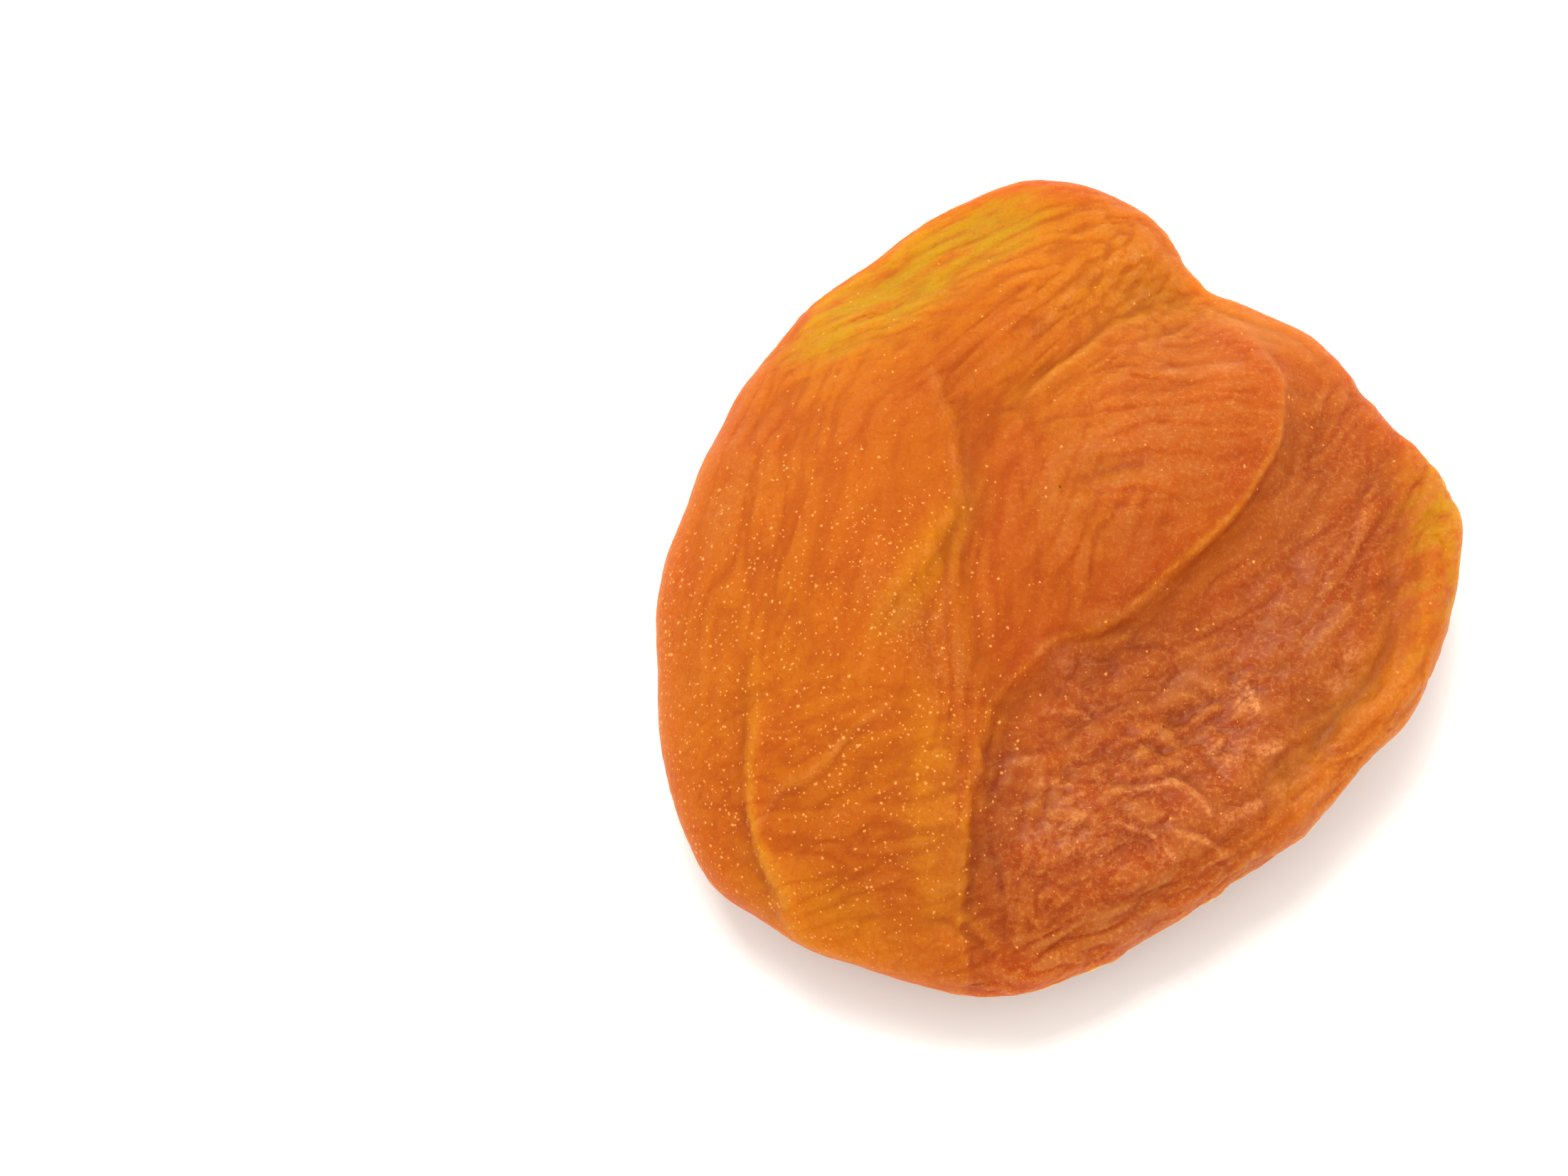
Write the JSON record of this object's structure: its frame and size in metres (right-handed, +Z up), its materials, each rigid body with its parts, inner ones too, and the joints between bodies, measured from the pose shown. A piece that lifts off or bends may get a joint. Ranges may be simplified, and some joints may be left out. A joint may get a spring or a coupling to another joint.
{
  "type": "dried apricot",
  "caption": "Whole pitted dried apricot: a flattened, folded and wrinkled soft fruit with a plump cheek, a sunken wrinkled side and a thick rolled rim, lying flat.",
  "frame": {"origin": "on the surface the fruit lies on, under the middle of its outline", "axes": "+Z up, through the fruit's flattened thickness; +Y along its longest way, from the rounded low end towards the stem dimple's side; +X towards the thick rolled rim"},
  "size_m": [0.0376, 0.0403, 0.0119],
  "materials": {
    "apricot_flesh": "satin"
  },
  "bodies": {
    "root": {"dried_apricot": "apricot_flesh"}
  },
  "joints": []
}
